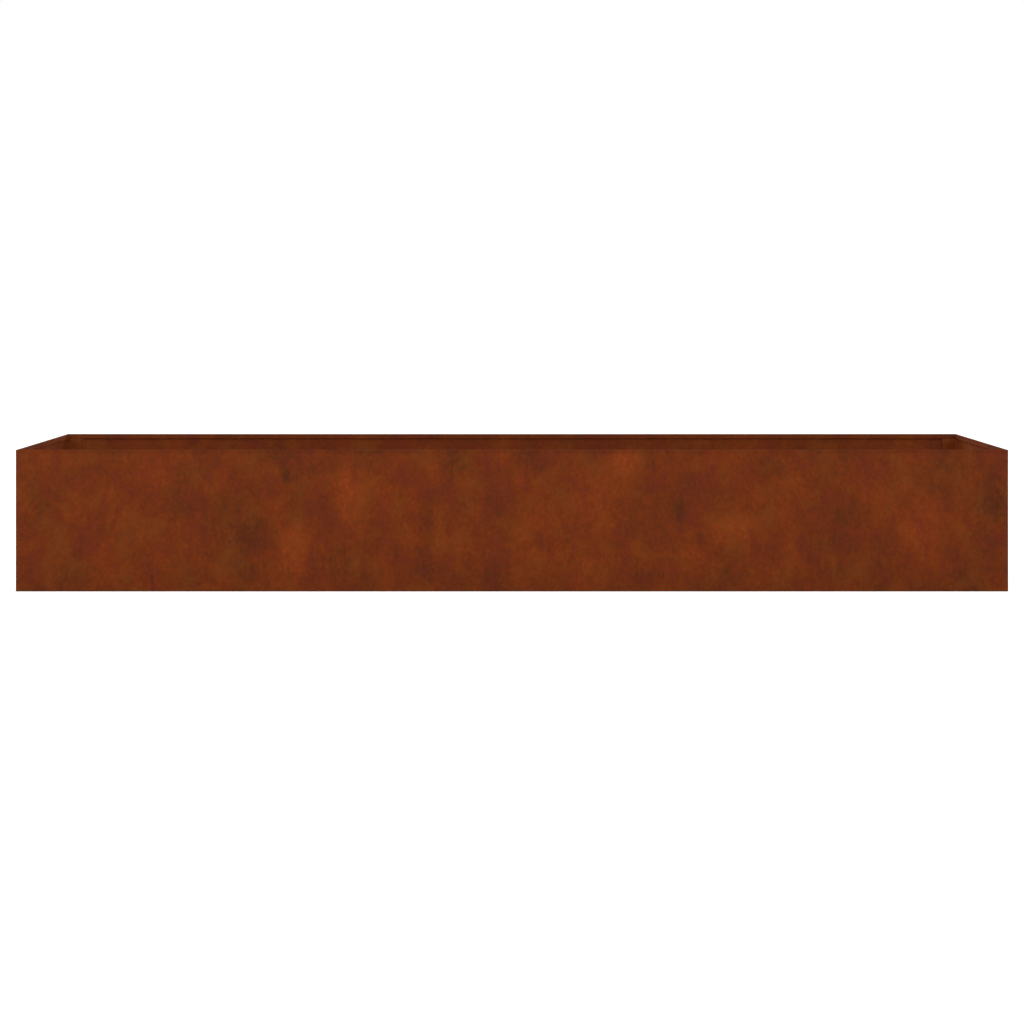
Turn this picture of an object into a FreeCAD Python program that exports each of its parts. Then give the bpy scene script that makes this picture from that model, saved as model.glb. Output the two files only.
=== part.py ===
import FreeCAD, Part
import math
import os
import Sketcher
from FreeCAD import Rotation, Vector
from types import SimpleNamespace

# A long open planter box of folded weathering steel sheet, bolted together from the inside.
# X runs along the box, the front faces -Y and +Z is up.
# The origin is the middle of the footprint, on the ground.

SIZES = {
    # Box
    "length": (2800, "overall length"),
    "depth": (400, "overall depth, front to back"),
    "height": (400, "overall height"),
    "sheet": (2, "thickness of the wall and floor sheet"),
    "bend": (1.5, "inner radius of a bend in that sheet"),
    "base_flange": (30, "width of the flange turned in along the ground"),
    "corner_flange": (45, "width of the flanges on an end wall's upright edges"),
    "hem_leg": (14, "height of the folded hem along the rim"),
    "hem_gap": (1.6, "air inside the hem"),
    "fit_gap": (0.5, "clearance at butted sheet edges"),
    "bays": (4, "number of bays, with one floor panel each"),
    # Anchor holes in the long walls' base flanges
    "anchor_hole": (12, "diameter"),
    "anchor_inset": (100, "distance from the box's end"),
    "anchor_reach": (18, "distance from the wall's outer face"),
    # Floor panels
    "floor_rise": (30, "height of a floor panel over the base flanges"),
    "floor_gap": (3, "gap between two floor panels"),
    "floor_side": (1, "gap between a floor panel and a corner flange"),
    "drain_hole": (10, "diameter of a drain hole"),
    "drain_pitch": (120, "distance between drain holes, both ways"),
    "drain_columns": (5, "drain holes along a panel"),
    "drain_rows": (3, "drain holes across a panel"),
    # Upright wall ribs
    "rib_leg": (40, "width of each leg of the angle"),
    "rib_sheet": (3, "thickness of the angle"),
    "rib_bend": (3, "inner radius of the angle"),
    "rib_over_tie": (5, "height of a rib's top over the tie bar"),
    "rib_corner": (16, "size of the corner cut off the standing leg's top"),
    "rib_stud_reach": (24, "distance of the studs from the angle's heel"),
    "rib_stud_inset": (32, "distance of the end studs from the rib's ends"),
    "rib_rows": (3, "studs in a rib"),
    # Tie bars
    "tie_height": (50, "height of the bar, which stands on edge"),
    "tie_sheet": (4, "thickness of the bar"),
    "tie_drop": (90, "distance from the rim down to the bar's middle"),
    "tie_corner": (6, "radius of the bar's corners"),
    "tie_end_gap": (5, "gap between the bar's end and the wall"),
    "tie_bolt_reach": (24, "distance of the bolts from the wall's inner face"),
    "tie_bolt_pitch": (26, "distance between the two bolts"),
    # Corner studs
    "corner_stud_reach": (26, "distance of the studs from the box's end"),
    "corner_stud_low": (75, "height of the lowest stud"),
    "corner_stud_high": (62, "distance from the rim down to the highest stud"),
    "corner_rows": (3, "studs in a corner"),
    # Weld studs with washers and nuts
    "stud_thread": (6, "thread diameter"),
    "stud_length": (16, "length from the wall"),
    "stud_tip": (0.8, "chamfer at the free end"),
    "stud_collar": (8, "diameter of the weld collar"),
    "stud_collar_rise": (1, "height of the weld collar"),
    "stud_washer": (14, "washer diameter"),
    "stud_washer_sheet": (1.6, "washer thickness"),
    "stud_nut_flats": (10, "nut size across its flats"),
    "stud_nut_rise": (5.2, "nut height"),
    # Bolts of the tie bars with washers and nuts
    "bolt_thread": (8, "thread diameter"),
    "bolt_length": (22, "length under the head"),
    "bolt_tip": (1, "chamfer at the free end"),
    "bolt_head_rise": (5.3, "head height"),
    "bolt_flats": (13, "head and nut size across their flats"),
    "bolt_nut_rise": (6.8, "nut height"),
    "bolt_washer": (16, "washer diameter"),
    "bolt_washer_sheet": (1.6, "washer thickness"),
    # Radial gaps round the fasteners
    "hole_gap": (0.5, "between a weld collar or bolt and its hole"),
    "washer_gap": (0.2, "between a thread and its washer"),
    "thread_gap": (0.05, "between a thread and its nut"),
}

HEX_CORNER = 0.5 / math.cos(math.radians(30))  # a hexagon's corner radius for one across its flats
HEX_CHAMFER = math.tan(math.radians(30))  # fall of a nut's chamfer for one outwards
CLEAR_OF_CORNER = 1.1  # how far a chamfer's cut reaches, for one to a hexagon's corner

doc = FreeCAD.newDocument("PlanterBox")


def make_sheet():
    """Writes each driving dimension to a cell, with its name as the alias."""
    cells = doc.addObject("Spreadsheet::Sheet", "Sizes")
    for row, (alias, (value, meaning)) in enumerate(SIZES.items(), start=1):
        cells.set(f"A{row}", meaning)
        cells.set(f"B{row}", str(value))
        cells.setAlias(f"B{row}", alias)
    doc.recompute()


class Formula:
    """A number together with the sheet formula that gives it."""

    def __init__(self, value, text):
        self.value = value
        self.text = text

    def __add__(self, other):
        return Formula(self.value + value_of(other), f"({self.text} + {text_of(other)})")

    def __sub__(self, other):
        return Formula(self.value - value_of(other), f"({self.text} - {text_of(other)})")

    def __mul__(self, other):
        return Formula(self.value * value_of(other), f"({self.text} * {text_of(other)})")

    def __truediv__(self, other):
        return Formula(self.value / value_of(other), f"({self.text} / {text_of(other)})")

    def __neg__(self):
        return Formula(-self.value, f"(0 - {self.text})")


def value_of(amount):
    return amount.value if isinstance(amount, Formula) else float(amount)


def text_of(amount):
    return amount.text if isinstance(amount, Formula) else f"({float(amount)!r})"


def bind(thing, name, amount):
    """Ties a property to its sheet formula."""
    thing.setExpression(name, text_of(amount))


# Bodies, sketches and features


def new_body(label):
    body = doc.addObject("PartDesign::Body", label)
    body.Label = label
    return body


def place(body, x=0, y=0, z=0, turn=0):
    """Puts a body at a point, turned about the upright axis by degrees."""
    body.Placement = FreeCAD.Placement(Vector(0, 0, 0), Rotation(Vector(0, 0, 1), turn))
    for axis, amount in (("x", x), ("y", y), ("z", z)):
        bind(body, f"Placement.Base.{axis}", amount)
    return body


def datum(body, role):
    """One of the body's own origin planes or axes."""
    return next(item for item in body.Origin.OriginFeatures if item.Role == role)


def new_sketch(body, plane, shift=(0, 0, 0)):
    """A sketch on an origin plane, moved by shift in the plane's own directions."""
    sketch = body.newObject("Sketcher::SketchObject", "Sketch")
    sketch.AttachmentSupport = [(datum(body, plane), "")]
    sketch.MapMode = "FlatFace"
    for axis, amount in zip("xyz", shift):
        bind(sketch, f"AttachmentOffset.Base.{axis}", amount)
    return sketch


def fix(sketch, kind, name, curve, point, amount):
    """Dimensions a point from the sketch's origin along one axis."""
    number = sketch.addConstraint(Sketcher.Constraint(kind, -1, 1, curve, point, value_of(amount)))
    sketch.renameConstraint(number, name)
    bind(sketch, f"Constraints.{name}", amount)


def heading(vector):
    return math.atan2(vector.y, vector.x)


def draw_outline(sketch, corners, bends=()):
    """Closed outline through corners of (x, y).

    The stretch after a corner is straight, or a tangent arc where the corner's number is in bends.
    """
    base = sketch.GeometryCount
    count = len(corners)
    points = [Vector(value_of(x), value_of(y), 0) for x, y in corners]
    ends = []
    for number, start in enumerate(points):
        finish = points[(number + 1) % count]
        if number not in bends:
            sketch.addGeometry(Part.LineSegment(start, finish), False)
            ends.append((1, 2))
            continue
        along = (start - points[number - 1]).normalize()
        side = Vector(-along.y, along.x, 0)
        reach = (finish - start).Length ** 2 / (2 * (finish - start).dot(side))
        centre = start + side * reach
        first, last = (start, finish) if reach > 0 else (finish, start)
        circle = Part.Circle(centre, Vector(0, 0, 1), abs(reach))
        sketch.addGeometry(Part.ArcOfCircle(circle, heading(first - centre), heading(last - centre)), False)
        ends.append((1, 2) if reach > 0 else (2, 1))

    tied = {0: [False] * count, 1: [False] * count}  # whether a corner has its x, y from a neighbour
    for number in range(count):
        after = (number + 1) % count
        joint = "Tangent" if after in bends else "Coincident"
        sketch.addConstraint(
            Sketcher.Constraint(joint, base + number, ends[number][1], base + after, ends[after][0])
        )
        if number in bends:
            continue
        for axis, level in ((0, "Vertical"), (1, "Horizontal")):
            if text_of(corners[number][axis]) == text_of(corners[after][axis]):
                sketch.addConstraint(Sketcher.Constraint(level, base + number))
                tied[axis][after or number] = True

    for number, (x, y) in enumerate(corners):
        curve, point = base + number, ends[number][0]
        if not tied[0][number]:
            fix(sketch, "DistanceX", f"across_{base + number}", curve, point, x)
        if not tied[1][number]:
            fix(sketch, "DistanceY", f"up_{base + number}", curve, point, y)


def draw_box(sketch, x_from, x_to, y_from, y_to):
    draw_outline(sketch, [(x_from, y_from), (x_to, y_from), (x_to, y_to), (x_from, y_to)])


def draw_circle(sketch, x, y, diameter):
    centre = Vector(value_of(x), value_of(y), 0)
    curve = sketch.addGeometry(Part.Circle(centre, Vector(0, 0, 1), value_of(diameter) / 2), False)
    fix(sketch, "DistanceX", f"across_{curve}", curve, 3, x)
    fix(sketch, "DistanceY", f"up_{curve}", curve, 3, y)
    number = sketch.addConstraint(Sketcher.Constraint("Diameter", curve, value_of(diameter)))
    sketch.renameConstraint(number, f"diameter_{curve}")
    bind(sketch, f"Constraints.diameter_{curve}", diameter)


def pad(body, sketch, length, both_ways=False, backwards=False):
    """Adds material along the sketch's normal, against it, or half each way."""
    feature = body.newObject("PartDesign::Pad", "Pad")
    feature.Profile = sketch
    feature.SideType = "Symmetric" if both_ways else "One side"
    feature.Reversed = backwards
    bind(feature, "Length", length)
    return feature


def cut_through(body, sketch):
    """Removes material right through the body, both ways from the sketch."""
    feature = body.newObject("PartDesign::Pocket", "Cut")
    feature.Profile = sketch
    feature.Type = "ThroughAll"
    feature.SideType = "Symmetric"
    return feature


def cut_up(body, sketch, length):
    """Removes material along the sketch's normal."""
    feature = body.newObject("PartDesign::Pocket", "Cut")
    feature.Profile = sketch
    feature.Reversed = True
    bind(feature, "Length", length)
    return feature


def turn(body, sketch, axis, kind="Revolution"):
    """Turns a section about the sketch's own H_Axis or V_Axis, to add or, as a Groove, to remove."""
    feature = body.newObject(f"PartDesign::{kind}", "Turned")
    feature.Profile = sketch
    feature.ReferenceAxis = (sketch, [axis])
    feature.Angle = 360
    return feature


def row(axis, spacing, count):
    """A step for repeat: copies in a straight row."""

    def step(body):
        pattern = body.newObject("PartDesign::LinearPattern", "Row")
        pattern.Direction = (datum(body, axis), [""])
        pattern.Mode = "Spacing"
        bind(pattern, "Offset", spacing)
        bind(pattern, "Occurrences", count)
        return pattern

    return step


def mirror(plane):
    """A step for repeat: a mirrored copy."""

    def step(body):
        pattern = body.newObject("PartDesign::Mirrored", "Mirror")
        pattern.MirrorPlane = (datum(body, plane), [""])
        return pattern

    return step


def half_turn():
    """A step for repeat: a second copy, half a turn about the upright axis."""

    def step(body):
        pattern = body.newObject("PartDesign::PolarPattern", "HalfTurn")
        pattern.Axis = (datum(body, "Z_Axis"), [""])
        pattern.Angle = 360
        pattern.Occurrences = 2
        return pattern

    return step


def repeat(body, steps, features):
    """Copies the given features of a body by each step in turn."""
    pattern = body.newObject("PartDesign::MultiTransform", "Repeat")
    pattern.Originals = features
    pattern.Transformations = [step(body) for step in steps]
    body.Tip = pattern
    return pattern


make_sheet()
s = SimpleNamespace(**{name: Formula(float(SIZES[name][0]), f"Sizes.{name}") for name in SIZES})

# Places that more than one sub-part uses

half_length = s.length / 2
half_depth = s.depth / 2
wall_face = half_depth - s.sheet  # from the middle to the long walls' inner faces
bend_out = s.bend + s.sheet
hem_out = s.sheet + s.hem_gap / 2
hem_depth = hem_out * 2
bay_pitch = (s.length - s.sheet * 2) / s.bays
bay_count = SIZES["bays"][0]
floor_top = s.sheet + s.floor_rise
tie_level = s.height - s.tie_drop
tie_bolt_low = tie_level - s.tie_bolt_pitch / 2
rib_foot = floor_top + s.fit_gap
rib_height = tie_level + s.tie_height / 2 + s.rib_over_tie - rib_foot
rib_heel = -(s.tie_sheet / 2)  # the standing leg's face, against the tie bar
rib_stud_pitch = (rib_height - s.rib_stud_inset * 2) / (s.rib_rows - 1)
corner_stud_pitch = (s.height - s.corner_stud_low - s.corner_stud_high) / (s.corner_rows - 1)
stud_hole = s.stud_collar + s.hole_gap * 2
bolt_hole = s.bolt_thread + s.hole_gap * 2


def frame_x(number):
    """Where an inner frame of two ribs and a tie bar stands."""
    return bay_pitch * (s.bays / -2 + (number + 1))


def floor_x(number):
    """The middle of a bay."""
    return bay_pitch * (s.bays / -2 + (number + 0.5))


# Walls


def draw_skin(sketch):
    """Section of a wall: base flange, bend, upright and the hem at the rim, as (inwards, up)."""
    hem_axis = s.height - hem_out
    hem_foot = s.height - s.hem_leg
    corners = [
        (s.base_flange, 0),
        (bend_out, 0),
        (0, bend_out),
        (0, hem_axis),
        (hem_depth, hem_axis),
        (hem_depth, hem_foot),
        (hem_depth - s.sheet, hem_foot),
        (hem_depth - s.sheet, hem_axis),
        (s.sheet, hem_axis),
        (s.sheet, bend_out),
        (bend_out, s.sheet),
        (s.base_flange, s.sheet),
    ]
    draw_outline(sketch, corners, bends=(1, 3, 7, 9))


def make_long_wall(label):
    """Front or back wall, the full length of the box, modelled from its outer face inwards."""
    body = new_body(label)
    section = new_sketch(body, "YZ_Plane")
    draw_skin(section)
    pad(body, section, s.length, both_ways=True)

    ends = new_sketch(body, "XY_Plane")
    for side in (-1, 1):
        flange_end = (half_length - s.sheet - s.fit_gap) * side
        draw_box(ends, flange_end, (half_length + s.sheet) * side, s.sheet, s.base_flange + s.sheet)
    cut_through(body, ends)

    anchors = new_sketch(body, "XY_Plane")
    for side in (-1, 1):
        draw_circle(anchors, (half_length - s.anchor_inset) * side, s.anchor_reach, s.anchor_hole)
    cut_through(body, anchors)
    return body


def make_end_wall(label):
    """End wall between the long walls, with flanges that lie against their inner faces."""
    body = new_body(label)
    section = new_sketch(body, "YZ_Plane")
    draw_skin(section)
    pad(body, section, (wall_face - s.fit_gap) * 2, both_ways=True)

    # The hem and the base flange stop short of the long walls' own.
    hem_end = half_depth - hem_depth - s.fit_gap
    clear_of_hems = new_sketch(body, "XY_Plane")
    for side in (-1, 1):
        draw_box(clear_of_hems, hem_end * side, half_depth * side, s.sheet, s.base_flange + s.sheet)
    cut_through(body, clear_of_hems)
    flange_end = half_depth - s.base_flange - s.fit_gap
    clear_of_flanges = new_sketch(body, "XZ_Plane")
    for side in (-1, 1):
        draw_box(clear_of_flanges, flange_end * side, half_depth * side, -s.sheet, bend_out)
    cut_through(body, clear_of_flanges)
    feet = new_sketch(body, "XZ_Plane")
    for side in (-1, 1):
        draw_box(feet, flange_end * side, (wall_face - s.fit_gap) * side, 0, bend_out)
    pad(body, feet, s.sheet, backwards=True)

    # The upright flanges start over the long walls' base bend and end under their hems.
    flange_foot = s.sheet + s.bend + s.fit_gap
    flange_height = s.height - s.hem_leg - s.fit_gap - flange_foot
    square_edges = new_sketch(body, "XY_Plane", shift=(0, 0, flange_foot))
    for side in (-1, 1):
        draw_box(square_edges, (wall_face - bend_out) * side, half_depth * side, -s.sheet, bend_out)
    cut_up(body, square_edges, flange_height)
    flanges = new_sketch(body, "XY_Plane", shift=(0, 0, flange_foot))
    for side in (-1, 1):
        corners = [
            (wall_face - bend_out - s.bend, 0),
            (wall_face - bend_out, 0),
            (wall_face, bend_out),
            (wall_face, s.corner_flange),
            (wall_face - s.sheet, s.corner_flange),
            (wall_face - s.sheet, bend_out),
            (wall_face - bend_out, s.sheet),
            (wall_face - bend_out - s.bend, s.sheet),
        ]
        draw_outline(flanges, [(x * side, y) for x, y in corners], bends=(1, 5))
    pad(body, flanges, flange_height)

    for_stud = new_sketch(body, "YZ_Plane")
    draw_circle(for_stud, s.corner_stud_reach, s.corner_stud_low, stud_hole)
    hole = cut_through(body, for_stud)
    repeat(body, [row("Z_Axis", corner_stud_pitch, s.corner_rows)], [hole])
    return body


# Floor and inner frames


def make_floor_panel(label):
    """Floor panel of one bay, whose two folded edges stand on the base flanges."""
    body = new_body(label)
    half = wall_face - s.sheet - s.floor_side
    rise = s.floor_rise
    corners = [
        (-half, 0),
        (-half, rise - bend_out),
        (-half + bend_out, rise),
        (half - bend_out, rise),
        (half, rise - bend_out),
        (half, 0),
        (half - s.sheet, 0),
        (half - s.sheet, rise - bend_out),
        (half - bend_out, rise - s.sheet),
        (-half + bend_out, rise - s.sheet),
        (-half + s.sheet, rise - bend_out),
        (-half + s.sheet, 0),
    ]
    section = new_sketch(body, "YZ_Plane")
    draw_outline(section, corners, bends=(1, 3, 7, 9))
    pad(body, section, bay_pitch - s.floor_gap, both_ways=True)

    first_x = s.drain_pitch * (s.drain_columns - 1) / -2
    first_y = s.drain_pitch * (s.drain_rows - 1) / -2
    drain = new_sketch(body, "XY_Plane")
    draw_circle(drain, first_x, first_y, s.drain_hole)
    hole = cut_through(body, drain)
    columns = row("X_Axis", s.drain_pitch, s.drain_columns)
    rows = row("Y_Axis", s.drain_pitch, s.drain_rows)
    repeat(body, [columns, rows], [hole])
    return body


def make_rib(label):
    """Upright angle: one leg flat on the wall, the other standing out beside the tie bar."""
    body = new_body(label)
    round_out = s.rib_bend + s.rib_sheet
    leg_end = rib_heel - s.rib_leg
    inner = rib_heel - s.rib_sheet
    corners = [
        (leg_end, 0),
        (rib_heel - round_out, 0),
        (rib_heel, round_out),
        (rib_heel, s.rib_leg),
        (inner, s.rib_leg),
        (inner, round_out),
        (rib_heel - round_out, s.rib_sheet),
        (leg_end, s.rib_sheet),
    ]
    section = new_sketch(body, "XY_Plane")
    draw_outline(section, corners, bends=(1, 5))
    pad(body, section, rib_height)

    top_corner = new_sketch(body, "YZ_Plane")
    over = s.rib_sheet  # the cut runs this far past the leg's edges
    corners = [
        (s.rib_leg - s.rib_corner, rib_height),
        (s.rib_leg, rib_height - s.rib_corner),
        (s.rib_leg + over, rib_height - s.rib_corner),
        (s.rib_leg + over, rib_height + over),
        (s.rib_leg - s.rib_corner, rib_height + over),
    ]
    draw_outline(top_corner, corners)
    cut_through(body, top_corner)

    for_stud = new_sketch(body, "XZ_Plane")
    draw_circle(for_stud, rib_heel - s.rib_stud_reach, s.rib_stud_inset, stud_hole)
    hole = cut_through(body, for_stud)
    repeat(body, [row("Z_Axis", rib_stud_pitch, s.rib_rows)], [hole])
    for_bolt = new_sketch(body, "YZ_Plane")
    draw_circle(for_bolt, s.tie_bolt_reach, tie_bolt_low - rib_foot, bolt_hole)
    hole = cut_through(body, for_bolt)
    repeat(body, [row("Z_Axis", s.tie_bolt_pitch, 2)], [hole])
    return body


def make_tie_bar(label):
    """Flat bar on edge that holds the two long walls together."""
    body = new_body(label)
    half = wall_face - s.tie_end_gap
    rise = s.tie_height / 2
    round_off = s.tie_corner
    corners = [
        (round_off - half, -rise),
        (half - round_off, -rise),
        (half, round_off - rise),
        (half, rise - round_off),
        (half - round_off, rise),
        (round_off - half, rise),
        (-half, rise - round_off),
        (-half, round_off - rise),
    ]
    outline = new_sketch(body, "YZ_Plane")
    draw_outline(outline, corners, bends=(1, 3, 5, 7))
    pad(body, outline, s.tie_sheet, both_ways=True)

    holes = new_sketch(body, "YZ_Plane")
    for side in (-1, 1):
        draw_circle(holes, (wall_face - s.tie_bolt_reach) * side, s.tie_bolt_pitch / -2, bolt_hole)
    pair = cut_through(body, holes)
    repeat(body, [row("Z_Axis", s.tie_bolt_pitch, 2)], [pair])
    return body


# Fasteners


def hexagon(flats):
    """Corners of a hexagon with the given size across its flats."""
    corner = flats * HEX_CORNER
    return [
        (corner, 0),
        (corner / 2, flats / 2),
        (corner / -2, flats / 2),
        (-corner, 0),
        (corner / -2, flats / -2),
        (corner / 2, flats / -2),
    ]


def chamfer_triangle(flats, level, fall):
    """Section, as (out, along), of what a nut's chamfer removes at one of its faces."""
    over = flats * (HEX_CORNER * CLEAR_OF_CORNER)
    drop = (over - flats / 2) * (HEX_CHAMFER * fall)
    return [(flats / 2, level), (over, level), (over, -drop + level)]


def make_studs(label, at, steps):
    """Weld studs on the long walls: shank, chamfered tip and the collar of the weld."""
    body = new_body(label)
    x, z = at
    shank = s.stud_thread / 2
    corners = [
        (0, 0),
        (s.stud_collar / 2, 0),
        (s.stud_collar / 2, s.stud_collar_rise),
        (shank, s.stud_collar_rise),
        (shank, s.stud_length - s.stud_tip),
        (shank - s.stud_tip, s.stud_length),
        (0, s.stud_length),
    ]
    section = new_sketch(body, "XY_Plane", shift=(x, -wall_face, z))
    draw_outline(section, corners)
    stud = turn(body, section, "V_Axis")
    repeat(body, steps, [stud])
    return body


def make_stud_washers(label, at, plate, steps):
    """Washers on the studs, over a plate of the given thickness."""
    body = new_body(label)
    x, z = at
    section = new_sketch(body, "XY_Plane", shift=(x, -wall_face, z))
    bore = s.stud_thread / 2 + s.washer_gap
    draw_box(section, bore, s.stud_washer / 2, plate, plate + s.stud_washer_sheet)
    washer = turn(body, section, "V_Axis")
    repeat(body, steps, [washer])
    return body


def make_stud_nuts(label, at, plate, steps):
    """Hexagon nuts on the studs, over the washers."""
    body = new_body(label)
    x, z = at
    foot = plate + s.stud_washer_sheet
    outline = new_sketch(body, "XZ_Plane", shift=(x, z, wall_face - foot))
    draw_outline(outline, hexagon(s.stud_nut_flats))
    draw_circle(outline, 0, 0, s.stud_thread + s.thread_gap * 2)
    nut = pad(body, outline, s.stud_nut_rise, backwards=True)

    chamfers = new_sketch(body, "XY_Plane", shift=(x, foot - wall_face, z))
    draw_outline(chamfers, chamfer_triangle(s.stud_nut_flats, s.stud_nut_rise, 1))
    draw_outline(chamfers, chamfer_triangle(s.stud_nut_flats, 0, -1))
    cut = turn(body, chamfers, "V_Axis", kind="Groove")
    repeat(body, steps, [nut, cut])
    return body


def bolt_section(body, along):
    """A sketch whose H_Axis is the first tie bolt's axis, starting at x along."""
    return new_sketch(body, "XY_Plane", shift=(along, s.tie_bolt_reach - wall_face, tie_bolt_low))


def bolt_outline(body, along):
    """A sketch across the first tie bolt's axis, at x along."""
    return new_sketch(body, "YZ_Plane", shift=(s.tie_bolt_reach - wall_face, tie_bolt_low, along))


def swap(corners):
    """Corners of (out, along) as (along, out)."""
    return [(along, out) for out, along in corners]


def make_tie_bolts(label, steps):
    """Hexagon bolts, with their heads inside the angles."""
    body = new_body(label)
    head_face = frame_x(0) + rib_heel - s.rib_sheet - s.bolt_washer_sheet
    outline = bolt_outline(body, head_face)
    draw_outline(outline, hexagon(s.bolt_flats))
    head = pad(body, outline, s.bolt_head_rise, backwards=True)
    chamfer = bolt_section(body, head_face)
    draw_outline(chamfer, swap(chamfer_triangle(s.bolt_flats, -s.bolt_head_rise, -1)))
    cut = turn(body, chamfer, "H_Axis", kind="Groove")

    shank = s.bolt_thread / 2
    corners = [
        (s.bolt_head_rise / -2, 0),
        (s.bolt_head_rise / -2, shank),
        (s.bolt_length - s.bolt_tip, shank),
        (s.bolt_length, shank - s.bolt_tip),
        (s.bolt_length, 0),
    ]
    section = bolt_section(body, head_face)
    draw_outline(section, corners)
    threaded = turn(body, section, "H_Axis")
    repeat(body, steps, [head, cut, threaded])
    return body


def make_tie_washers(label, steps):
    """Washers under the bolts' heads and under their nuts."""
    body = new_body(label)
    section = bolt_section(body, frame_x(0))
    bore = s.bolt_thread / 2 + s.washer_gap
    head_side = rib_heel - s.rib_sheet
    draw_box(section, head_side - s.bolt_washer_sheet, head_side, bore, s.bolt_washer / 2)
    nut_side = s.tie_sheet / 2
    draw_box(section, nut_side, nut_side + s.bolt_washer_sheet, bore, s.bolt_washer / 2)
    pair = turn(body, section, "H_Axis")
    repeat(body, steps, [pair])
    return body


def make_tie_nuts(label, steps):
    """Hexagon nuts on the free side of the tie bars."""
    body = new_body(label)
    foot = frame_x(0) + s.tie_sheet / 2 + s.bolt_washer_sheet
    outline = bolt_outline(body, foot)
    draw_outline(outline, hexagon(s.bolt_flats))
    draw_circle(outline, 0, 0, s.bolt_thread + s.thread_gap * 2)
    nut = pad(body, outline, s.bolt_nut_rise)
    chamfers = bolt_section(body, foot)
    draw_outline(chamfers, swap(chamfer_triangle(s.bolt_flats, s.bolt_nut_rise, 1)))
    draw_outline(chamfers, swap(chamfer_triangle(s.bolt_flats, 0, -1)))
    cut = turn(body, chamfers, "H_Axis", kind="Groove")
    repeat(body, steps, [nut, cut])
    return body


# Assembly


def build():
    """Makes every sub-part in its place and returns them."""
    parts = [
        place(make_long_wall("front_wall"), y=-half_depth),
        place(make_long_wall("back_wall"), y=half_depth, turn=180),
        place(make_end_wall("left_end_wall"), x=-half_length, turn=-90),
        place(make_end_wall("right_end_wall"), x=half_length, turn=90),
    ]
    for number in range(bay_count):
        panel = make_floor_panel(f"floor_panel_{number + 1}")
        parts.append(place(panel, x=floor_x(number), z=s.sheet))
    for number in range(bay_count - 1):
        x = frame_x(number)
        front = make_rib(f"front_rib_{number + 1}")
        back = make_rib(f"back_rib_{number + 1}")
        tie = make_tie_bar(f"tie_bar_{number + 1}")
        parts.append(place(front, x=x, y=-wall_face, z=rib_foot))
        parts.append(place(back, x=x, y=wall_face, z=rib_foot, turn=180))
        parts.append(place(tie, x=x, z=tie_level))

    corner_at = (s.corner_stud_reach - half_length, s.corner_stud_low)
    up_the_corner = row("Z_Axis", corner_stud_pitch, s.corner_rows)
    corners = [up_the_corner, mirror("YZ_Plane"), mirror("XZ_Plane")]
    rib_at = (frame_x(0) + rib_heel - s.rib_stud_reach, rib_foot + s.rib_stud_inset)
    along_the_wall = row("X_Axis", bay_pitch, s.bays - 1)
    up_the_rib = row("Z_Axis", rib_stud_pitch, s.rib_rows)
    ribs = [up_the_rib, along_the_wall, half_turn()]
    ties = [row("Z_Axis", s.tie_bolt_pitch, 2), along_the_wall, half_turn()]
    parts += [
        make_studs("corner_studs", corner_at, corners),
        make_stud_washers("corner_washers", corner_at, s.sheet, corners),
        make_stud_nuts("corner_nuts", corner_at, s.sheet, corners),
        make_studs("rib_studs", rib_at, ribs),
        make_stud_washers("rib_washers", rib_at, s.rib_sheet, ribs),
        make_stud_nuts("rib_nuts", rib_at, s.rib_sheet, ribs),
        make_tie_bolts("tie_bolts", ties),
        make_tie_washers("tie_bolt_washers", ties),
        make_tie_nuts("tie_bolt_nuts", ties),
    ]
    return parts


def faults(parts):
    """What is wrong with the document, as a list of words."""
    found = [
        f"{item.Name} is {item.State}"
        for item in doc.Objects
        if "Invalid" in item.State or "Error" in item.State
    ]
    for item in doc.Objects:
        if item.TypeId in ("PartDesign::Pocket", "PartDesign::Groove"):
            if not item.Shape.Volume < item.BaseFeature.Shape.Volume:
                found.append(f"{item.Name} removes nothing")
        if item.TypeId == "Sketcher::SketchObject" and not item.FullyConstrained:
            found.append(f"{item.Name} isn't fully constrained")
    for part in parts:
        if part.Shape.isNull() or not part.Shape.isValid() or not part.Shape.Solids:
            found.append(f"{part.Label} has no valid shape")
    return found


sub_parts = build()
doc.recompute()
problems = faults(sub_parts)
if problems:
    raise RuntimeError("; ".join(problems))

os.makedirs("parts", exist_ok=True)
for sub_part in sub_parts:
    sub_part.Shape.exportStep(f"parts/{sub_part.Label}.step")
    count = len(sub_part.Shape.Solids)
    print(f"{sub_part.Label}: {count} solids, {sub_part.Shape.Volume / 1000:.1f} cm3")
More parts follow.
